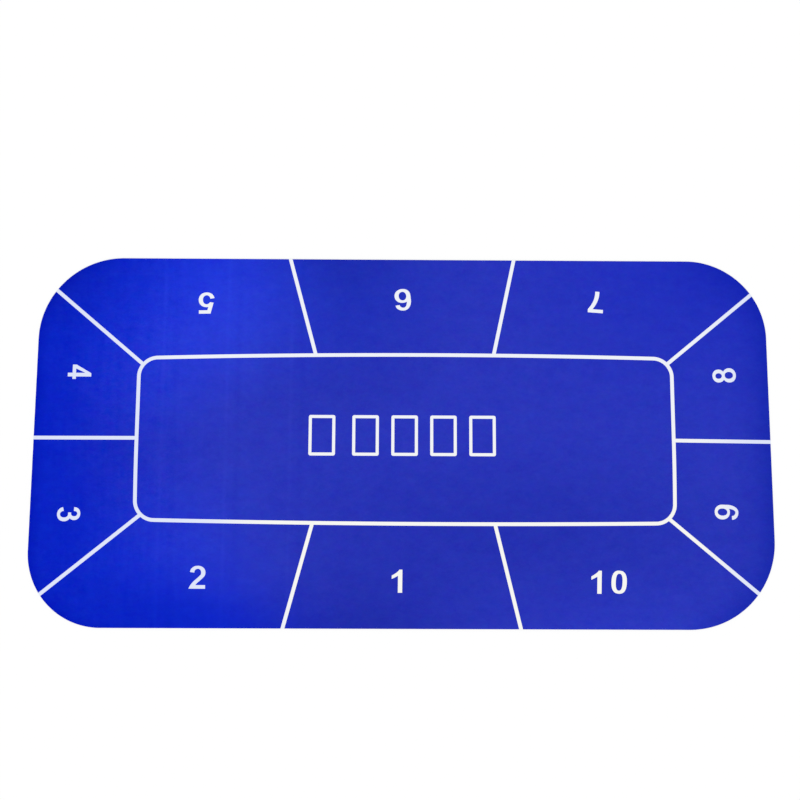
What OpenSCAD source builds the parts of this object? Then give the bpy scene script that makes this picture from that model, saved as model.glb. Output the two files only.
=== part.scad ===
// Roll-up card table mat for ten seats: a foamed rubber base, a cloth face bonded to it,
// and white markings that are cut from transfer film and pressed onto the cloth.
// Origin: under the middle of the mat, on the surface it lies on. +X runs along the mat,
// +Y to the back edge (seats 5, 6 and 7), +Z up.

/* [Mat] */
// Length of the mat, end to end
mat_l = 1800; // [1600:10:2400]
// Width of the mat, front edge to back edge
mat_w = 900; // [820:10:1200]
// Radius of the mat's back left corner
corner_r_back_left = 204; // [60:1:240]
// Radius of the mat's back right corner
corner_r_back_right = 195; // [60:1:240]
// Radius of the mat's front left corner
corner_r_front_left = 181; // [60:1:240]
// Radius of the mat's front right corner
corner_r_front_right = 213; // [60:1:240]
// Thickness of the foamed rubber base
rubber_t = 2.2; // [1:0.1:6]
// Thickness of the hot-melt film between rubber and cloth
bond_t = 0.1; // [0.05:0.05:0.3]
// Thickness of the cloth face
cloth_t = 0.6; // [0.3:0.1:1.5]
// Thickness of the white transfer film
film_t = 0.1; // [0.05:0.05:0.3]

/* [Layout lines] */
// Width of the frame line and of the seat dividers
line_w = 9; // [4:0.5:16]
// Distance from the mat's edge to the middle of the frame line
frame_inset = 244; // [215:1:290]
// Corner radius of the frame line, along its middle
frame_r = 45; // [20:1:80]
// How far the frame line was laid to the right of the mat's middle
frame_dx = 6.5; // [-8:0.5:8]
// How far the frame line was laid to the back of the mat's middle
frame_dy = 4; // [-8:0.5:8]
// How far the ends of the frame line's back side lie in from its middle
frame_bow_back = 9; // [0:0.5:15]
// How far the ends of the frame line's front side lie in from its middle
frame_bow_front = 5.5; // [0:0.5:15]
// How far the front ends of the frame line's short sides lie in from their middle
frame_toe = 3; // [0:0.5:8]
// How much wider the frame line is at its right end than at its left end
frame_taper = 8; // [0:0.5:15]
// Distance from the mat's middle to a seat divider, at the frame line
divider_in = 220; // [190:1:260]
// The same distance at the mat's back edge
divider_out_back = 278; // [240:1:320]
// The same distance at the mat's front edge
divider_out_front = 286; // [240:1:320]
// How far the straight dividers were laid to the right of the mat's middle
divider_dx = 2.5; // [-8:0.5:8]
// Slope of the four corner dividers
corner_slope = 39.6; // [32:0.2:48]

/* [Card boxes] */
// Outer width of a card box
card_w = 65; // [58:0.5:80]
// Outer height of a card box
card_h = 99; // [89:0.5:120]
// Width of a card box's line
card_line = 7.5; // [3:0.5:12]
// Outer corner radius of a card box
card_r = 5; // [1:0.5:8]
// Distance between neighbouring card boxes, middle to middle
card_pitch = 95.5; // [84:0.5:120]
// How far the row of card boxes lies to the right of the mat's middle
card_row_dx = 4; // [-10:1:10]
// How far the row of card boxes lies to the back of the mat's middle
card_row_dy = 11; // [-20:1:20]

/* [Numerals] */
// Height of the numerals along the front and back edges
row_h = 54.5; // [40:0.5:80]
// Width of the numerals 2, 5 and 6
row_w = 39.5; // [34:0.5:60]
// Width of the numeral 7
seven_w = 37.5; // [30:0.5:56]
// Width of the numeral 1
one_w = 25.5; // [22:0.5:40]
// Height of the numerals at the two ends
end_h = 57.5; // [40:0.5:80]
// Width of the numerals 4, 8 and 9
end_w = 35.5; // [32:0.5:60]
// Width of the numeral 3
three_w = 34; // [30:0.5:60]
// Width of the 1 in the numeral 10
ten_one_w = 25; // [22:0.5:40]
// Width of the 0 in the numeral 10
ten_zero_w = 37; // [34:0.5:60]
// Space between the two digits of the numeral 10
ten_gap = 23.5; // [6:0.5:30]
// Width of the upright strokes of the numerals along the front and back edges
stem_w = 10.4; // [6:0.1:13]
// Width of the upright strokes of the numerals at the two ends
end_stem_w = 9.2; // [6:0.1:12]
// Thickness of a numeral's level curved strokes
bar_t = 7.2; // [5:0.1:11]
// Thickness of a numeral's straight bars
foot_t = 8.5; // [5:0.1:12]
// How square the numerals' round strokes are: 2 draws ellipses
fullness = 2.1; // [2:0.05:2.6]
// The same for the 0 in the numeral 10
zero_fullness = 2.5; // [2:0.05:2.8]
// Distance from the front or back edge to the middle of a numeral
row_inset = 112; // [80:1:130]
// Distance from the mat's end to the middle of the numerals 2, 5, 7 and 10
row_end_inset = 410; // [380:1:440]
// Distance from the mat's end to the middle of an end numeral
end_inset = 105; // [75:1:140]
// Distance from the mat's middle to an end numeral, front to back
end_y = 170; // [100:1:190]

/* [Hidden] */
$fn = 96;
// How far each numeral was laid off its drawn place: right, back, and turn in degrees
numeral_laid = [
    [-13, 0, -0.5], [-2, 7.5, 0], [-11, -12.5, -0.5], [0, -6, 0], [1.5, -0.5, 1],
    [-1.5, 10.5, 7.5], [-11.5, 7, -4], [-3, -7.5, 4], [-9.5, -1, -1.5], [6.5, -0.5, 0]
];
// How much taller each numeral was cut than it was drawn
numeral_grown = [0, -0.5, -1.5, 0, -1, 0, -1, 0.5, 0, 0];
// How far the 1 and the 0 of the numeral 10 were each turned, in degrees
ten_laid = [-2, -4];
// How far each card box was laid to the right of its drawn place, left box first
card_laid = [-11, 0, 0, -0.5, -0.5];
// How far each divider was laid to the left of its drawn run, seen from the mat's middle:
// at the end near the frame line and at the end near the mat's edge
front_left_laid = [-1, -2];
front_right_laid = [1, -4.5];
back_left_laid = [-1.5, 6.5];
back_right_laid = [-0.5, 5.5];
corner_front_left_laid = [1.5, -2.5];
corner_front_right_laid = [-5.5, -8.5];
corner_back_left_laid = [8.5, 6];
corner_back_right_laid = [-2, -4];
end_left_laid = [-0.5, 0];
end_right_laid = [0, -2.5];

cloth_z = rubber_t + bond_t;
film_z = cloth_z + cloth_t;
frame_l = mat_l - 2 * frame_inset;
frame_w = mat_w - 2 * frame_inset;
row_nib = [stem_w / 2, bar_t / 2];
end_nib = [end_stem_w / 2, bar_t / 2];
arc_steps = 24;
oval_steps = 48;
bend_steps = 12;
past_edge = 60; // how far a divider is drawn past the mat's edge before it is trimmed
side_steps = 24; // points along each side of the frame line
spare = 1; // how far an offcut reaches past the mat's sides

// Colours of the four finishes
module in_rubber() { color("#1d1d1f") children(); }
module in_glue() { color("#d9d6cb") children(); }
module in_cloth() { color("#2231b4") children(); }
module in_film() { color("#f2f3ef") children(); }

// A rectangle with round corners, centred
module round_rect(l, w, r) {
    square([l - 2 * r, w], center = true);
    square([l, w - 2 * r], center = true);
    for (x = [-1, 1], y = [-1, 1])
        translate([x * (l / 2 - r), y * (w / 2 - r)]) circle(r);
}

// What is cut off the mat's corner to the left or right (side) and front or back
module offcut(side, back, r) {
    translate([side * (mat_l / 2 - r), back * (mat_w / 2 - r)]) difference() {
        translate([side, back] * (r + spare) / 2) square(r + spare, center = true);
        circle(r);
    }
}

module mat_outline() {
    difference() {
        square([mat_l, mat_w], center = true);
        offcut(-1, 1, corner_r_back_left);
        offcut(1, 1, corner_r_back_right);
        offcut(-1, -1, corner_r_front_left);
        offcut(1, -1, corner_r_front_right);
    }
}

// Points along the frame line's outline before it is bent, grown by grow, round its middle
function frame_corner(c, grow) =
    let (side = c == 0 || c == 3 ? 1 : -1, back = c < 2 ? 1 : -1)
    [for (i = [0:arc_steps]) let (t = 90 * (c + i / arc_steps))
        [side * (frame_l / 2 - frame_r), back * (frame_w / 2 - frame_r)]
            + (frame_r + grow) * [cos(t), sin(t)]];
function frame_side(p, q) = [for (i = [1:side_steps - 1]) p + (q - p) * i / side_steps];
function straight_frame(grow) =
    [for (c = [0:3])
        let (here = frame_corner(c, grow), next = frame_corner((c + 1) % 4, grow))
        each concat(here, frame_side(here[arc_steps], next[0]))];

// Moves a point of the frame line as its sides are bowed and spread
function bend_frame(p) =
    let (along = 2 * p.x / frame_l, bow = p.y > 0 ? frame_bow_back : frame_bow_front)
    let (out = frame_taper * along / 4 - bow * along * along)
    let (share = min(1, abs(p.y) / (frame_w / 2 - frame_r)))
    let (front = max(0, -2 * p.y / frame_w))
    [p.x - frame_toe * along * front * front, p.y + sign(p.y) * share * out];

// The frame line's outline, grown by grow on every side of its middle
module frame_outline(grow) {
    translate([frame_dx, frame_dy]) polygon([for (p = straight_frame(grow)) bend_frame(p)]);
}

// A piece of transfer film, lying on the cloth
module film() {
    in_film() translate([0, 0, film_z]) linear_extrude(film_t) children();
}

// The three layers of the sheet
module rubber_base() {
    in_rubber() linear_extrude(rubber_t) mat_outline();
}

module bond_film() {
    in_glue() translate([0, 0, rubber_t]) linear_extrude(bond_t) mat_outline();
}

module cloth_face() {
    in_cloth() translate([0, 0, cloth_z]) linear_extrude(cloth_t) mat_outline();
}

module frame_line() {
    film() difference() {
        frame_outline(line_w / 2);
        frame_outline(-line_w / 2);
    }
}

// A seat divider drawn from point p to point q, and laid a little to the side of them:
// it butts on the frame line and is trimmed with the edge of the mat
module divider(p, q, laid) {
    drawn = q - p;
    left = [-drawn.y, drawn.x] / norm(drawn);
    start = p + laid[0] * left;
    run = q + laid[1] * left - start;
    film() intersection() {
        difference() {
            translate(start) rotate(atan2(run.y, run.x)) translate([0, -line_w / 2])
                square([norm(run) + past_edge, line_w]);
            frame_outline(line_w / 2);
        }
        mat_outline();
    }
}

// A divider to the front (back = -1) or back edge, left (side = -1) or right of the middle
module row_divider(side, back, laid) {
    out = back > 0 ? divider_out_back : divider_out_front;
    divider(
        [divider_dx + side * divider_in, frame_dy + back * frame_w / 2],
        [divider_dx + side * out, back * mat_w / 2],
        laid
    );
}

// A divider that leaves the round corner of the frame line square to it
module corner_divider(side, back, laid) {
    hub = [frame_dx + side * (frame_l / 2 - frame_r), frame_dy + back * (frame_w / 2 - frame_r)];
    reach = norm([side * mat_l / 2, back * mat_w / 2] - hub);
    divider(hub, hub + reach * [side * cos(corner_slope), back * sin(corner_slope)], laid);
}

module end_divider(side, laid) {
    divider([frame_dx + side * frame_l / 2, frame_dy / 2], [side * mat_l / 2, frame_dy / 2], laid);
}

module card_box(i) {
    place = i - (len(card_laid) - 1) / 2;
    translate([card_row_dx + place * card_pitch + card_laid[i], card_row_dy])
        film() difference() {
            round_rect(card_w, card_h, card_r);
            square([card_w - 2 * card_line, card_h - 2 * card_line], center = true);
        }
}

// The point at angle t on an oval round c with half sizes r; a larger full is squarer
function soften(v, full) = sign(v) * pow(abs(v), 2 / full);
function on_oval(c, r, t, full = fullness) =
    c + [r.x * soften(cos(t), full), r.y * soften(sin(t), full)];

// Points along an oval from angle a to angle b
function arc(c, r, a, b) =
    [for (i = [0:arc_steps]) on_oval(c, r, a + (b - a) * i / arc_steps)];

// Points after p on a curve from p to q that is drawn towards c
function bend(p, c, q) =
    [for (i = [1:bend_steps]) let (t = i / bend_steps)
        (1 - t) * (1 - t) * p + 2 * t * (1 - t) * c + t * t * q];

function backwards(p) = [for (i = [len(p) - 1:-1:0]) p[i]];
function heading(p, i) =
    let (d = p[min(i + 1, len(p) - 1)] - p[max(i - 1, 0)]) d / norm(d);

// One edge of the stroke that an oval nib draws along p: side is 1 on the left, -1 on the right.
// A nib is half as wide as an upright stroke and half as high as a level one.
function stroke_edge(p, side, nib) =
    [for (i = [0:len(p) - 1]) let (u = heading(p, i))
        p[i] + side * norm([nib.x * u.y, nib.y * u.x]) * [-u.y, u.x]];

module stroke(p, nib) {
    polygon(concat(stroke_edge(p, 1, nib), backwards(stroke_edge(p, -1, nib))));
}

// A closed oval stroke inside the box of half size r round c, with its top thinner by thin
module ring(c, r, nib, thin = 0, full = fullness) {
    turn = 360 / oval_steps;
    lift = [0, thin / 2];
    difference() {
        polygon([for (i = [0:oval_steps - 1]) on_oval(c, r, i * turn, full)]);
        polygon([for (i = [0:oval_steps - 1]) on_oval(c + lift, r - 2 * nib + lift, i * turn, full)]);
    }
}

// The digits, each in a box from [0, 0] to [w, h] and drawn with a nib
module digit_0(w, h, nib) { ring([w, h] / 2, [w, h] / 2, nib, full = zero_fullness); }

module digit_1(w, h, nib) {
    stem = 2 * nib.x;
    top = [w - 0.72 * stem, h];
    brow = [0, h - 1.68 * foot_t];
    chin = [0, h - 2.63 * foot_t];
    pit = [w - stem, h - 1.69 * foot_t];
    polygon(concat(
        [[w, 0], [w, h], top], bend(top, [w - 0.88 * stem, h - 0.62 * foot_t], brow),
        [chin], bend(chin, [w - 1.57 * stem, h - 2.13 * foot_t], pit),
        [[pit.x, 0]]
    ));
}

module digit_2(w, h, nib) {
    hub = [0.53 * w, 0.7 * h];
    bowl = arc(hub, [w - hub.x, h - hub.y] - nib, 177, -30);
    turn = [0.556 * w, 0.383 * h];
    path = concat(
        bowl, bend(bowl[arc_steps], [0.77 * w, 0.524 * h], turn),
        bend(turn, [0.245 * w, 0.205 * h], [nib.x, 0])
    );
    under = [for (p = stroke_edge(path, 1, nib)) if (p.y > foot_t) p];
    over = [for (p = stroke_edge(path, -1, nib)) if (p.y > 0) p];
    polygon(concat(
        under, [[under[len(under) - 1].x, foot_t], [w, foot_t], [w, 0], [0, 0]],
        backwards(over)
    ));
}

module digit_3(w, h, nib) {
    waist = 0.54 * h;
    top_r = [0.455 * w, (h - waist + nib.y) / 2] - nib;
    low_r = [0.5 * w, (waist + nib.y) / 2] - nib;
    tip = [0.37 * w, waist];
    stroke(concat(arc([0.45 * w, h - nib.y - top_r.y], top_r, 184, -90), [tip]), nib);
    stroke(concat([tip], arc([0.5 * w, nib.y + low_r.y], low_r, 90, -172)), nib);
}

module digit_4(w, h, nib) {
    stem = 2 * nib.x;
    post = 0.57 * w;
    beam = 0.2 * h;
    difference() {
        polygon([
            [post, 0], [post + stem, 0], [post + stem, beam], [w, beam], [w, beam + foot_t],
            [post + stem, beam + foot_t], [post + stem, h], [post + 0.1 * stem, h],
            [0, beam + 1.1 * foot_t], [0, beam], [post, beam]
        ]);
        polygon([[post, beam + foot_t], [post, h - 1.75 * foot_t], [1.05 * stem, beam + foot_t]]);
    }
}

module digit_5(w, h, nib) {
    bowl = [0.5 * w, 0.348 * h];
    polygon(concat(
        [[0.25 * w, h], [0.067 * w, 0.488 * h], [0.288 * w, 0.465 * h]],
        arc(bowl, bowl - 2 * nib, 125, -168), arc(bowl, bowl, -168, 102),
        [[0.45 * w, h - foot_t], [0.98 * w, h - foot_t], [0.98 * w, h]]
    ));
}

module digit_6(w, h, nib) {
    low = [0.5 * w, 0.321 * h];
    tip_r = [0.505 * w, 0.281 * h];
    back_r = [0.5 * w, 0.482 * h];
    tip = [0.5 * w, h - tip_r.y];
    back = [0.5 * w, h - back_r.y];
    ring(low, low, nib, 0.14 * bar_t);
    polygon(concat(
        arc(tip, tip_r, 2, 100), arc(back, back_r, 114, 180), [[0, low.y], [2 * nib.x, low.y]],
        arc(back, back_r - 2 * nib, 180, 114), arc(tip, tip_r - 2 * nib, 100, 2)
    ));
}

module digit_7(w, h, nib) {
    neck = [w, 0.847 * h];
    pit = [0.693 * w, h - foot_t];
    heel = [0.57 * w - stem_w, 0];
    polygon(concat(
        [[0, h], [w, h], neck], bend(neck, [0.541 * w, 0.453 * h], [0.57 * w, 0]),
        [heel], bend(heel, [0.263 * w, 0.441 * h], pit), [[0, pit.y]]
    ));
}

module digit_8(w, h, nib) {
    waist = 0.523 * h;
    overlap = 0.38 * bar_t;
    top_r = [0.453 * w, (h - waist + overlap) / 2];
    low_r = [0.5 * w, (waist + overlap) / 2];
    ring([0.5 * w, h - top_r.y], top_r, nib);
    ring([0.5 * w, low_r.y], low_r, nib, 0.26 * bar_t);
}

module digit_9(w, h, nib) { translate([w, h]) rotate(180) digit_6(w, h, nib); }

module digit(n, w, h, nib) {
    if (n == 0) digit_0(w, h, nib);
    if (n == 1) digit_1(w, h, nib);
    if (n == 2) digit_2(w, h, nib);
    if (n == 3) digit_3(w, h, nib);
    if (n == 4) digit_4(w, h, nib);
    if (n == 5) digit_5(w, h, nib);
    if (n == 6) digit_6(w, h, nib);
    if (n == 7) digit_7(w, h, nib);
    if (n == 8) digit_8(w, h, nib);
    if (n == 9) digit_9(w, h, nib);
}

// A digit of the numeral 10, turned where it lies: its box is w by h and starts at x
module ten_digit(n, x, w, h, nib, turn) {
    translate([x + w / 2, h / 2]) rotate(turn) translate([-w, -h] / 2) digit(n, w, h, nib);
}

// Numeral n: its box is w by h, its middle is drawn at spot, and its foot faces the turn
module numeral(n, w, h, spot, turn, nib) {
    laid = numeral_laid[n - 1];
    tall = h + numeral_grown[n - 1];
    translate([spot.x + laid.x, spot.y + laid.y]) rotate(turn + laid.z) film()
        translate([-w, -tall] / 2) {
            if (n < 10) {
                digit(n, w, tall, nib);
            } else {
                ten_digit(1, 0, ten_one_w, tall, nib, ten_laid[0]);
                ten_digit(0, w - ten_zero_w, ten_zero_w, tall, nib, ten_laid[1]);
            }
        }
}

// A numeral along the front (back = -1) or back edge, read from that edge
module row_numeral(n, w, column, back) {
    spot = [column * (mat_l / 2 - row_end_inset), back * (mat_w / 2 - row_inset)];
    numeral(n, w, row_h, spot, back > 0 ? 180 : 0, row_nib);
}

// A numeral at the left (side = -1) or right end, read from that end
module end_numeral(n, w, side, back) {
    numeral(n, w, end_h, [side * (mat_l / 2 - end_inset), back * end_y], side * 90, end_nib);
}

rubber_base();
bond_film();
cloth_face();
frame_line();
row_divider(-1, -1, front_left_laid);  // divider_front_left
row_divider(1, -1, front_right_laid);  // divider_front_right
row_divider(-1, 1, back_left_laid);  // divider_back_left
row_divider(1, 1, back_right_laid);  // divider_back_right
corner_divider(-1, -1, corner_front_left_laid);  // divider_corner_front_left
corner_divider(1, -1, corner_front_right_laid);  // divider_corner_front_right
corner_divider(-1, 1, corner_back_left_laid);  // divider_corner_back_left
corner_divider(1, 1, corner_back_right_laid);  // divider_corner_back_right
end_divider(-1, end_left_laid);  // divider_end_left
end_divider(1, end_right_laid);  // divider_end_right
card_box(0);  // card_box_1
card_box(1);  // card_box_2
card_box(2);  // card_box_3
card_box(3);  // card_box_4
card_box(4);  // card_box_5
row_numeral(1, one_w, 0, -1);  // numeral_1
row_numeral(2, row_w, -1, -1);  // numeral_2
end_numeral(3, three_w, -1, -1);  // numeral_3
end_numeral(4, end_w, -1, 1);  // numeral_4
row_numeral(5, row_w, -1, 1);  // numeral_5
row_numeral(6, row_w, 0, 1);  // numeral_6
row_numeral(7, seven_w, 1, 1);  // numeral_7
end_numeral(8, end_w, 1, 1);  // numeral_8
end_numeral(9, end_w, 1, -1);  // numeral_9
row_numeral(10, ten_one_w + ten_gap + ten_zero_w, 1, -1);  // numeral_10
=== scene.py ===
import math

import bmesh
import bpy
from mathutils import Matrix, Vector, noise


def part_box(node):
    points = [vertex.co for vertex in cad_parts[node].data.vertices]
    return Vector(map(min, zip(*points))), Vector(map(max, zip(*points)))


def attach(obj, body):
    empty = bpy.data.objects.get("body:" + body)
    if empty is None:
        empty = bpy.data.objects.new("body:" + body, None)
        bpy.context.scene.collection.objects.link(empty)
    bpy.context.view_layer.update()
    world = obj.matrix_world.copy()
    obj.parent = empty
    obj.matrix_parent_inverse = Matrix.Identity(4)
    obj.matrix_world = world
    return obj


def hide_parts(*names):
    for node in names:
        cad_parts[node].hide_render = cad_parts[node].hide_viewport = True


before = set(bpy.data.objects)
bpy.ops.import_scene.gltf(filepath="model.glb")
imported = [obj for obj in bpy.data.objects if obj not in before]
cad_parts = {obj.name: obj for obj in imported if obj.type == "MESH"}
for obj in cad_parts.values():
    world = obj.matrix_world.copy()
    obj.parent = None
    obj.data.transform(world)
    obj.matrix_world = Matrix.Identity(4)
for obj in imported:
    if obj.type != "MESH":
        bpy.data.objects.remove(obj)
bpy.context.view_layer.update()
mm = 0.001


# Camera: nearly straight above the mat, a little towards its front edge

print("camera")
camera = {
    "place": (-0.016, -0.055, 1.714),
    "turn": (5.116, -0.302, 0.258),
    "lens": 31.5,
    "sensor": 36,
    "nearest": 0.05,
}
eye = bpy.data.objects.new("camera", bpy.data.cameras.new("camera"))
eye.location = camera["place"]
eye.rotation_euler = [math.radians(angle) for angle in camera["turn"]]
eye.data.lens = camera["lens"]
eye.data.sensor_width = camera["sensor"]
eye.data.clip_start = camera["nearest"]
bpy.context.scene.collection.objects.link(eye)
bpy.context.scene.camera = eye
bpy.context.scene.view_settings.view_transform = "Standard"


# The mat's outline, as the frame has it: half its length and width, and each corner's radius

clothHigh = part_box("cloth_face")[1]
halfLength, halfWidth = clothHigh.x, clothHigh.y
clothPoints = [vert.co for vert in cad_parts["cloth_face"].data.vertices]
onEdge = 0.01 * mm


def cornerRadius(side, back):
    # Of the corner to the left or right (side is -1 or 1) and at the front or back (back is -1 or 1)
    straight = [side * point.x for point in clothPoints if back * point.y > halfWidth - onEdge]
    return halfLength - max(straight)


corners = {(side, back): cornerRadius(side, back) for side in (-1, 1) for back in (-1, 1)}


# Where rolling the mat up has marked it: one line a turn, from its left end, pressed into the pile
# and shown by a painted highlight along the line, with a painted shade line beside it

rolled = {
    "first": -0.590,
    "turn": 157 * mm,
    "count": 3,
    # The next four are the strength and width of the painted highlight line and of the painted shade line
    "light": 0.14,
    "lightWide": 8 * mm,
    "paintedCreaseShade": 0.09,
    "darkWide": 14 * mm,
    "darkAway": 28 * mm,
    "patch": 120 * mm,
    "plain": 0.3,
    "pressWide": 7 * mm,
    "pressCuts": (-1, -0.5, 0, 0.5, 1),
    "pressDeep": 0.06 * mm,
    "pressFade": 20 * mm,
}
rollLines = [rolled["first"] + turn * rolled["turn"] for turn in range(rolled["count"])]


# Materials

print("materials")


def grey(tone):
    return (tone, tone, tone, 1)


class Signal:
    # One socket of a material's nodes, so that sums on it are written as sums
    def __init__(self, finish, socket):
        self.finish, self.socket = finish, socket

    def maths(self, operation, first, second):
        return self.finish.add("ShaderNodeMath", {"operation": operation}, {0: first, 1: second})

    def __add__(self, other):
        return self.maths("ADD", self, other)

    def __sub__(self, other):
        return self.maths("SUBTRACT", self, other)

    def __rsub__(self, other):
        return self.maths("SUBTRACT", other, self)

    def __mul__(self, other):
        return self.maths("MULTIPLY", self, other)

    def __abs__(self):
        return self.maths("ABSOLUTE", self, 0)

    def atLeast(self, other):
        return self.maths("MAXIMUM", self, other)

    def atMost(self, other):
        return self.maths("MINIMUM", self, other)

    def above(self, other):
        return self.maths("GREATER_THAN", self, other)

    __radd__ = __add__
    __rmul__ = __mul__


class Finish:
    # The nodes of a material or of the world, built one by one
    def __init__(self, owner):
        self.owner = owner
        owner.use_nodes = True
        self.tree = owner.node_tree
        self.tree.nodes.clear()
        self.place = self.add("ShaderNodeTexCoord", {}, {}, "Object")

    def add(self, kind, settings, values, output=0):
        node = self.tree.nodes.new(kind)
        for name, value in settings.items():
            setattr(node, name, value)
        for name, value in values.items():
            if isinstance(value, Signal):
                self.tree.links.new(value.socket, node.inputs[name])
            else:
                node.inputs[name].default_value = value
        return Signal(self, node.outputs[output])

    def axis(self, name):
        return self.add("ShaderNodeSeparateXYZ", {}, {0: self.place}, name)

    def mix(self, share, first, second):
        return self.add("ShaderNodeMix", {"data_type": "RGBA"}, {0: share, 6: first, 7: second}, 2)

    def tint(self, colour, by):
        settings = {"data_type": "RGBA", "blend_type": "MULTIPLY"}
        return self.add("ShaderNodeMix", settings, {0: 1.0, 6: colour, 7: by}, 2)

    def ramp(self, value, low, high, kind="LINEAR"):
        # 0 at low, 1 at high
        settings = {"interpolation_type": kind}
        return self.add("ShaderNodeMapRange", settings, {"Value": value, "From Min": low, "From Max": high})

    def ease(self, value, low, high):
        # A ramp that starts and stops softly
        return self.ramp(value, low, high, "SMOOTHSTEP")

    def vector(self, operation, *values, output="Vector"):
        return self.add("ShaderNodeVectorMath", {"operation": operation}, dict(enumerate(values)), output)

    def grain(self, size, stretch=1.0, detail=2.0, roughness=0.5, output="Fac"):
        # Noise with patches of that size across, longer along the mat by stretch
        scale = (1 / (size * stretch), 1 / size, 1 / size)
        spot = self.vector("MULTIPLY", self.place, scale)
        values = {"Vector": spot, "Scale": 1.0, "Detail": detail, "Roughness": roughness}
        return self.add("ShaderNodeTexNoise", {}, values, output)

    def patch(self, at, size):
        # One soft oval spot, 1 in its middle and 0 from its rim outwards
        values = {
            "Vector": self.place,
            "Scale": (1 / size[0], 1 / size[1], 0),
            "Location": (-at[0] / size[0], -at[1] / size[1], 0),
        }
        spot = self.add("ShaderNodeMapping", {"vector_type": "POINT"}, values)
        dome = self.add("ShaderNodeTexGradient", {"gradient_type": "SPHERICAL"}, {"Vector": spot}, "Fac")
        return self.ease(dome, 0, 1)

    def fromEdge(self):
        # How far inside the mat's outline a point lies
        right, back = self.axis("X").above(0), self.axis("Y").above(0)
        front, rear = [right * (corners[1, way] - corners[-1, way]) + corners[-1, way] for way in (-1, 1)]
        corner = (rear - front) * back + front
        x = abs(self.axis("X")) - halfLength + corner
        y = abs(self.axis("Y")) - halfWidth + corner
        past = self.add("ShaderNodeCombineXYZ", {}, {"X": x.atLeast(0), "Y": y.atLeast(0)})
        reach = self.vector("LENGTH", past, output="Value")
        return corner - reach - x.atLeast(y).atMost(0)

    def bump(self, height, depth):
        return self.add("ShaderNodeBump", {}, {"Height": height, "Distance": depth, "Strength": 1.0})

    def seen(self):
        # 1 for the rays that see the studio itself, 0 for those that carry its light
        direct, glossy, through = [
            self.add("ShaderNodeLightPath", {}, {}, f"Is {ray} Ray")
            for ray in ("Camera", "Glossy", "Transmission")
        ]
        return direct.atLeast(glossy).atLeast(through)

    def choose(self, share, first, second):
        return self.add("ShaderNodeMixShader", {}, {0: share, 1: first, 2: second})

    def ends(self, kind, shader):
        self.tree.links.new(shader.socket, self.tree.nodes.new(kind).inputs["Surface"])
        return self.owner


class Coat(Finish):
    # A material of the mat itself, which ends in one Principled shader
    def __init__(self, name):
        super().__init__(bpy.data.materials.new(name))

    def done(self, values):
        shader = self.add("ShaderNodeBsdfPrincipled", {}, values)
        return self.ends("ShaderNodeOutputMaterial", shader)


# Blue cloth: a painted sheen haze that gives way to deep blue towards the left end, broad patches of
# painted highlight and shade, uneven dye and fibres, and painted shade at the two ends.
# A patch is a colour, how much of it, its middle and its half sizes.

nap = {
    "deep": (0.0022, 0.016, 0.556, 1),
    "soft": (0.0236, 0.0368, 0.495, 1),
    "paintedHighlight": (0.030, 0.0695, 0.98, 1),
    "paintedShade": (0.005, 0.0124, 0.296, 1),
    "paintedHaze": (-0.90, -0.39),
    "hazeBend": -1.95,
    "rightShadeRamp": (0.76, 0.93),
    "rightShadeShare": 0.08,
    "lightAndShadePatches": [
        ("paintedHighlight", 0.57, (-0.30, 0.38), (0.52, 0.31)),
        ("paintedHighlight", 0.20, (-0.53, -0.27), (0.34, 0.31)),
        ("deep", 0.95, (-0.70, -0.44), (0.52, 0.15)),
        ("paintedShade", 0.29, (0.25, -0.22), (0.86, 0.29)),
        ("paintedShade", 0.64, (-0.15, 0.47), (0.39, 0.54)),
        ("paintedHighlight", 0.28, (0.56, -0.77), (0.48, 0.48)),
        ("deep", 0.56, (0.91, 0.55), (1.0, 0.65)),
        ("paintedHighlight", 0.25, (-0.59, 0.19), (0.32, 0.26)),
        ("paintedShade", 0.54, (-0.08, -0.53), (0.40, 0.33)),
        ("paintedShade", 0.36, (-0.90, 0.45), (0.24, 0.24)),
        ("paintedShade", 0.12, (0.80, 0.42), (0.26, 0.20)),
    ],
    "speck": 24 * mm,
    "clump": 55 * mm,
    "clumpShare": 0.8,
    "rib": 160 * mm,
    "ribShare": 0.28,
    "ribbed": (-0.15, -0.70),
    "fibre": 0.45 * mm,
    "fibreShare": 1.1,
    "fibreDeep": 0.36 * mm,
    "calm": (0.82, 0.70, 0.22, 1),
    "ruffled": (2.7, 1.15, 0.24, 1),
    "ruffledFrom": (-0.45, -0.80),
    "ends": (0.62, 0.85),
    # The next four set the painted shade at the two ends: how far in from the outline it reaches, and its
    # tint
    "leftFade": 38 * mm,
    "leftEndShade": (0.24, 0.54, 0.87, 1),
    "rightFade": 110 * mm,
    "rightEndShade": (0.44, 0.63, 0.88, 1),
}


# Painted highlight and painted shade along the roll creases, stronger in some stretches than in others
def rollCreaseShading(finish, x):
    lines = 0
    for mark in rollLines:
        light = finish.ease(abs(x - mark), rolled["lightWide"], 0)
        paintedCreaseShade = finish.ease(abs(x - mark - rolled["darkAway"]), rolled["darkWide"], 0)
        lines = lines + light * rolled["light"] - paintedCreaseShade * rolled["paintedCreaseShade"]
    return lines * (finish.grain(rolled["patch"]) + rolled["plain"])


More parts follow.
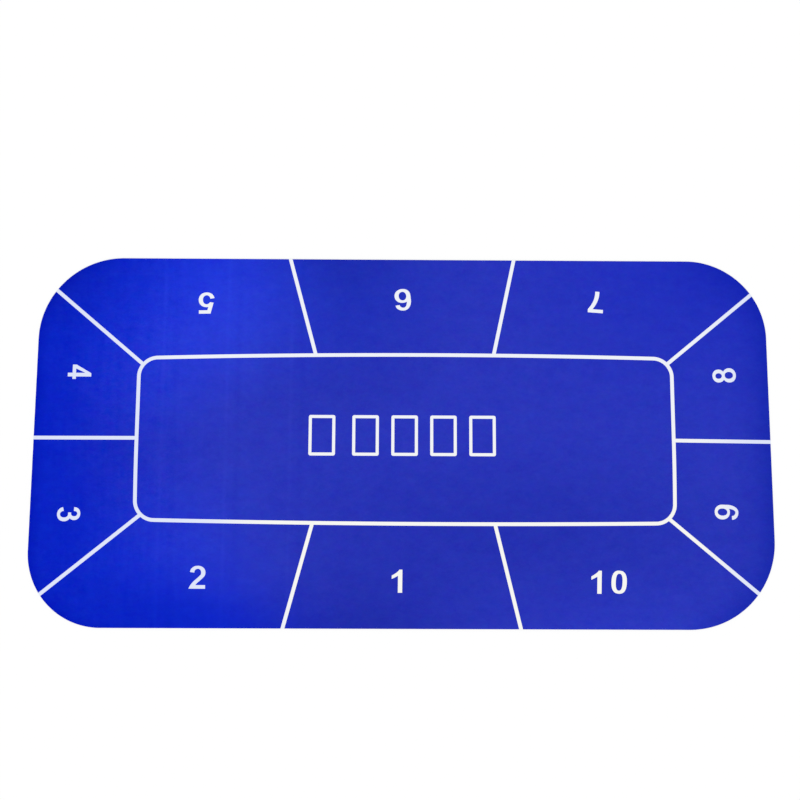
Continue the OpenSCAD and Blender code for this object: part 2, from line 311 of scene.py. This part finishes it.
def blueCloth():
    finish = Coat("blueCloth")
    x, y = finish.axis("X"), finish.axis("Y")
    # Painted sheen: the cloth's colour gets a greyish haze everywhere but towards the left end, where it
    # stays deep blue
    paintedHaze = finish.ease(x + y * y * nap["hazeBend"], *nap["paintedHaze"])
    colour = finish.mix(paintedHaze, nap["deep"], nap["soft"])
    # Broad soft patches of painted highlight, of painted shade, and of deep blue where the painted haze is
    # weaker
    for name, share, at, size in nap["lightAndShadePatches"]:
        colour = finish.mix(finish.patch(at, size) * share, colour, nap[name])
    # Painted shade: darker towards the right end
    colour = finish.mix(finish.ease(x, *nap["rightShadeRamp"]) * nap["rightShadeShare"], colour, nap["paintedShade"])

    # Unevenness of the dye, of its three primaries each by itself, and of the pile, to which the roll
    # creases' painted highlight and shade are added. A grain's own middle is 0.5, which is taken off again.
    specks = finish.grain(nap["speck"], stretch=1.4, detail=3, roughness=1.0, output="Color")
    clumps = finish.grain(nap["clump"], stretch=1.6, detail=4, roughness=1.0)
    ribs = finish.grain(nap["rib"], stretch=0.08) - 0.5
    fibres = finish.grain(nap["fibre"], stretch=3, roughness=0.7)
    pileAndCreaseShading = clumps * nap["clumpShare"] + ribs * finish.ease(x, *nap["ribbed"]) * nap["ribShare"]
    pileAndCreaseShading = pileAndCreaseShading + rollCreaseShading(finish, x) + fibres * nap["fibreShare"]
    pileAndCreaseShading = pileAndCreaseShading - (1 + nap["clumpShare"] + nap["fibreShare"]) / 2
    depth = finish.mix(finish.ease(x, *nap["ruffledFrom"]), nap["calm"], nap["ruffled"])
    uneven = finish.vector("MULTIPLY_ADD", finish.vector("ADD", specks, pileAndCreaseShading), depth, (1, 1, 1))
    colour = finish.vector("MULTIPLY", colour, uneven)

    # Painted shade: the cloth darkens and loses its haze close to its outline at the two ends
    right = x.above(0)
    fade = right * (nap["rightFade"] - nap["leftFade"]) + nap["leftFade"]
    rim = finish.ramp(finish.fromEdge(), fade, 0)
    paintedEndShade = rim * rim * finish.ease(abs(x), *nap["ends"])
    tint = finish.mix(right, nap["leftEndShade"], nap["rightEndShade"])
    colour = finish.tint(colour, finish.mix(paintedEndShade, grey(1), tint))
    return finish.done({
        "Base Color": colour,
        "Roughness": 0.92,
        "Specular IOR Level": 0.02,
        "Sheen Weight": 0.12,
        "Sheen Roughness": 0.45,
        "Sheen Tint": (0.12, 0.40, 1.0, 1),
        "Normal": finish.bump(fibres, nap["fibreDeep"]),
    })


# White film: cool at the back edge, warm at the front, and with painted shade that turns it bluish at the
# two ends

whites = {
    "cool": (0.86, 0.885, 0.95, 1),
    "warm": (0.93, 0.925, 0.89, 1),
    "warmFrom": (0.15, -0.20),
    "paintedEndShade": (0.725, 0.775, 0.955, 1),
    "leftEndShade": (-0.40, -0.62),
    "leftLean": 0.5,
    "rightEndShade": (0.70, 0.86),
    "soil": 70 * mm,
    "soiled": (0.95, 0.955, 0.97, 1),
    "clean": (1.03, 1.025, 1.01, 1),
    "rough": 0.35,
    "roughVaries": 0.3,
    "roughPatch": 25 * mm,
    "weave": 0.6 * mm,
    "weaveDeep": 0.1 * mm,
}


def whiteFilm():
    finish = Coat("whiteFilm")
    x, y = finish.axis("X"), finish.axis("Y")
    colour = finish.mix(finish.ease(y, *whites["warmFrom"]), whites["cool"], whites["warm"])
    # Painted shade at the two ends, where the film turns bluish
    left = finish.ease(x + y * whites["leftLean"], *whites["leftEndShade"])
    paintedEndShade = left + finish.ease(x, *whites["rightEndShade"])
    colour = finish.mix(paintedEndShade, colour, whites["paintedEndShade"])
    handled = finish.grain(whites["soil"], detail=5, roughness=0.8)
    rough = finish.grain(whites["roughPatch"], detail=3) * whites["roughVaries"] + whites["rough"]
    weave = finish.grain(whites["weave"], stretch=1.8, roughness=0.7)
    return finish.done({
        "Base Color": finish.tint(colour, finish.mix(handled, whites["soiled"], whites["clean"])),
        "Roughness": rough,
        "Specular IOR Level": 0.2,
        "Normal": finish.bump(weave, whites["weaveDeep"]),
    })


# Bond film: milky, with ripples from the roller that pressed it

glue = {
    "thin": (0.50, 0.48, 0.40, 1),
    "milky": (0.62, 0.60, 0.52, 1),
    "cloud": 6 * mm,
    "ripple": 2 * mm,
    "rippleDeep": 0.05 * mm,
}


def bondFilm():
    finish = Coat("bondFilm")
    return finish.done({
        "Base Color": finish.mix(finish.grain(glue["cloud"]), glue["thin"], glue["milky"]),
        "Roughness": 0.35,
        "Normal": finish.bump(finish.grain(glue["ripple"]), glue["rippleDeep"]),
    })


# Foamed rubber: small cells with painted shade in their pits, and dust that lies in patches

foam = {
    "black": (0.003, 0.003, 0.004, 1),
    "dustAndLitRims": (0.021, 0.021, 0.022, 1),
    "cell": 0.8 * mm,
    "cellDeep": 0.3 * mm,
    "pitShadeShare": 0.8,
    "dust": 70 * mm,
    "dustShare": 1.2,
    "clean": 0.4,
}


def foamedRubber():
    finish = Coat("foamedRubber")
    values = {"Vector": finish.place, "Scale": 1 / foam["cell"]}
    cells = finish.add("ShaderNodeTexVoronoi", {}, values, "Distance")
    dust = finish.grain(foam["dust"], detail=4, roughness=0.6)
    # Paler where dust lies, and paler at each cell's rim than in its pit, which is painted shade
    pale = dust * foam["dustShare"] + cells * foam["pitShadeShare"] - foam["clean"]
    return finish.done({
        "Base Color": finish.mix(pale, foam["black"], foam["dustAndLitRims"]),
        "Roughness": 0.65,
        "Specular IOR Level": 0.25,
        "Normal": finish.bump(cells, foam["cellDeep"]),
    })


# Meshes: a flat sheet is trimmed to the mat's outline, then given a rim that is cut a little unevenly

cut = {
    "weld": 0.05 * mm,
    "snap": 0.1 * mm,
    "wavesPerMetre": 60,
}


def pastCorner(point):
    # The nearest corner's radius, and how far a point lies beyond its centre along x and along y
    corner = corners[1 if point.x > 0 else -1, 1 if point.y > 0 else -1]
    return corner, abs(point.x) - halfLength + corner, abs(point.y) - halfWidth + corner


def inside(point):
    # How far a point lies inside the mat's outline
    corner, x, y = pastCorner(point)
    return corner - math.hypot(max(x, 0), max(y, 0)) - min(max(x, y), 0)


def outwards(point):
    # The direction in which the outline faces at a point on it
    x, y = pastCorner(point)[1:]
    way = Vector((math.copysign(max(x, 0), point.x), math.copysign(max(y, 0), point.y), 0))
    return way.normalized()


def everything(bm):
    return bm.verts[:] + bm.edges[:] + bm.faces[:]


def quarterSheet(cell, steps, side, back):
    # A flat grid in one quarter of the mat's outline, trimmed round its corner
    bm = bmesh.new()
    columns, rows = round(halfLength / cell), round(halfWidth / cell)
    bmesh.ops.create_grid(bm, x_segments=columns, y_segments=rows, size=0.5)
    bmesh.ops.translate(bm, vec=(0.5, 0.5, 0), verts=bm.verts)
    bmesh.ops.scale(bm, vec=(side * halfLength, back * halfWidth, 1), verts=bm.verts)
    corner = corners[side, back]
    centre = Vector((side * (halfLength - corner), back * (halfWidth - corner), 0))
    for step in range(1, steps):
        angle = math.pi / 2 * step / steps
        facing = Vector((side * math.cos(angle), back * math.sin(angle), 0))
        bmesh.ops.bisect_plane(bm, geom=everything(bm), plane_co=centre + facing * corner,
                               plane_no=facing, clear_outer=True)
    mesh = bpy.data.meshes.new("quarter")
    bm.to_mesh(mesh)
    bm.free()
    return mesh


def flatSheet(cell, steps):
    # The four quarters, joined
    bm = bmesh.new()
    for side, back in corners:
        quarter = quarterSheet(cell, steps, side, back)
        bm.from_mesh(quarter)
        bpy.data.meshes.remove(quarter)
    bmesh.ops.remove_doubles(bm, verts=bm.verts, dist=cut["weld"])
    return bm


def addRim(bm, rows, wander):
    # Walls the sheet's edge: each row is a height and how far it stands in from the outline
    rim = [edge for edge in bm.edges if edge.is_boundary]
    for vert in {vert for edge in rim for vert in edge.verts}:
        vert.co -= outwards(vert.co) * rows[0][1]
    for (lastZ, lastIn), (z, standIn) in zip(rows, rows[1:]):
        made = bmesh.ops.extrude_edge_only(bm, edges=rim)["geom"]
        rim = [edge for edge in made if isinstance(edge, bmesh.types.BMEdge) and edge.is_boundary]
        for vert in {vert for edge in rim for vert in edge.verts}:
            spot = Vector((vert.co.x, vert.co.y, z)) * cut["wavesPerMetre"]
            uneven = wander * abs(noise.noise(spot))
            vert.co += outwards(vert.co) * (lastIn - standIn - uneven)
            vert.co.z += z - lastZ
    bmesh.ops.contextual_create(bm, geom=rim)


def makeObject(name, bm, material):
    mesh = bpy.data.meshes.new(name)
    bm.to_mesh(mesh)
    bm.free()
    mesh.materials.append(material)
    piece = bpy.data.objects.new(name, mesh)
    bpy.context.scene.collection.objects.link(piece)
    return piece


def matPiece(name, bm, material):
    bmesh.ops.recalc_face_normals(bm, faces=bm.faces)
    piece = makeObject(name, bm, material)
    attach(piece, "root")
    return piece


# Rubber base: a moulded tread of low pyramids underneath, a plain rim and a cut edge.
# The rows of an edge run from its sheet outwards: height and stand-in, both in millimetres.

print("rubber base")
rubber = {
    "tread": 5 * mm,
    "treadDeep": 0.5 * mm,
    "plainRim": 9 * mm,
    "edge": [(0, 0.25), (0.2, 0.04), (1.1, 0.08), (2.0, 0.02), (2.2, 0.06)],
    "wander": 0.08 * mm,
    "cornerSteps": 24,
}


def rubberBase():
    bm = flatSheet(rubber["tread"], rubber["cornerSteps"])
    # The raised points are joined, so that each low one between them is a pyramid's tip
    raised = []
    for vert in bm.verts:
        column = round(abs(vert.co.x) / rubber["tread"])
        row = round(abs(vert.co.y) / rubber["tread"])
        if (column + row) % 2 and inside(vert.co) > rubber["plainRim"]:
            vert.co.z += rubber["treadDeep"]
            raised.append(vert)
    bmesh.ops.connect_verts(bm, verts=raised)
    addRim(bm, [(z * mm, standIn * mm) for z, standIn in rubber["edge"]], rubber["wander"])
    piece = matPiece("rubber", bm, foamedRubber())
    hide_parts("rubber_base")
    return piece


rubberPiece = rubberBase()


# Cloth face: a laid sheet with a soft cut edge, and shallow where rolling it up has pressed it

print("cloth face")
cloth = {
    "cell": 12 * mm,
    "edge": [(0.6, 0.4), (0.57, 0.15), (0.45, 0.03), (0.05, 0.03), (0, 0.08)],
    "wander": 0.1 * mm,
    "cornerSteps": 36,
}


def clothFace():
    bm = flatSheet(cloth["cell"], cloth["cornerSteps"])
    for mark in rollLines:
        for part in rolled["pressCuts"]:
            bmesh.ops.bisect_plane(bm, geom=everything(bm), dist=cut["snap"], plane_no=(1, 0, 0),
                                   plane_co=(mark + part * rolled["pressWide"], 0, 0))
    for vert in bm.verts:
        off = min(abs(vert.co.x - mark) for mark in rollLines) / rolled["pressWide"]
        if off < 1:
            share = min(inside(vert.co) / rolled["pressFade"], 1)
            vert.co.z -= rolled["pressDeep"] * share * math.cos(off * math.pi / 2) ** 2
    bmesh.ops.translate(bm, vec=(0, 0, clothHigh.z), verts=bm.verts)
    addRim(bm, [(z * mm, standIn * mm) for z, standIn in cloth["edge"]], cloth["wander"])
    piece = matPiece("cloth", bm, blueCloth())
    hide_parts("cloth_face")
    return piece


clothPiece = clothFace()


# White films and the bond film keep their shape and get their finish

print("films")
film, bond = whiteFilm(), bondFilm()
for name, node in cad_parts.items():
    if name in ("cloth_face", "rubber_base"):
        continue
    node.data.materials.clear()
    node.data.materials.append(bond if name == "bond_film" else film)

cutLength, cutWidth = 2 * halfLength, 2 * halfWidth
cutArea = cutLength * cutWidth - (1 - math.pi / 4) * sum(corner ** 2 for corner in corners.values())


# Floor, world and lamp

print("studio")
studio = {
    "floorSize": 30.0,
    "floorGap": 0.3 * mm,
    "floorLap": 3 * mm,
    "floorTone": 0.85,
    "floorShadow": 0.35,
    "skyStrength": 0.62,
    "keyStrength": 1.45,
    "keyTurn": (28, -18, 0),
    "keySoftness": 40,
}


def floorFinish():
    # Pale where it is seen, and it keeps the mat's shadow. It is clear under the mat and from
    # below, so that the tread is lit and can be looked at.
    finish = Finish(bpy.data.materials.new("floorFinish"))
    plain = finish.add("ShaderNodeBsdfDiffuse", {}, {"Color": grey(studio["floorTone"])})
    shaded = finish.add("ShaderNodeBsdfDiffuse", {}, {"Color": grey(studio["floorShadow"])})
    glow = finish.add("ShaderNodeEmission", {}, {"Strength": 1 - studio["floorShadow"]})
    pale = finish.add("ShaderNodeAddShader", {}, {0: shaded, 1: glow})
    fromBelow = finish.add("ShaderNodeNewGeometry", {}, {}, "Backfacing")
    clear = finish.fromEdge().above(studio["floorLap"]).atLeast(fromBelow)
    shader = finish.choose(clear, finish.choose(finish.seen(), plain, pale),
                           finish.add("ShaderNodeBsdfTransparent", {}, {}))
    return finish.ends("ShaderNodeOutputMaterial", shader)


def floor():
    bm = bmesh.new()
    bmesh.ops.create_grid(bm, x_segments=1, y_segments=1, size=studio["floorSize"] / 2)
    bmesh.ops.translate(bm, vec=(0, 0, -studio["floorGap"]), verts=bm.verts)
    makeObject("floor", bm, floorFinish())


def sky():
    finish = Finish(bpy.data.worlds.new("sky"))
    light = finish.add("ShaderNodeBackground", {}, {"Color": grey(1), "Strength": studio["skyStrength"]})
    white = finish.add("ShaderNodeBackground", {}, {"Color": grey(1), "Strength": 1})
    shader = finish.choose(finish.seen(), light, white)
    bpy.context.scene.world = finish.ends("ShaderNodeOutputWorld", shader)


def keyLamp():
    lamp = bpy.data.objects.new("key", bpy.data.lights.new("key", "SUN"))
    lamp.data.energy = studio["keyStrength"]
    lamp.data.angle = math.radians(studio["keySoftness"])
    lamp.rotation_euler = [math.radians(angle) for angle in studio["keyTurn"]]
    bpy.context.scene.collection.objects.link(lamp)


floor()
sky()
keyLamp()

bpy.context.view_layer.update()
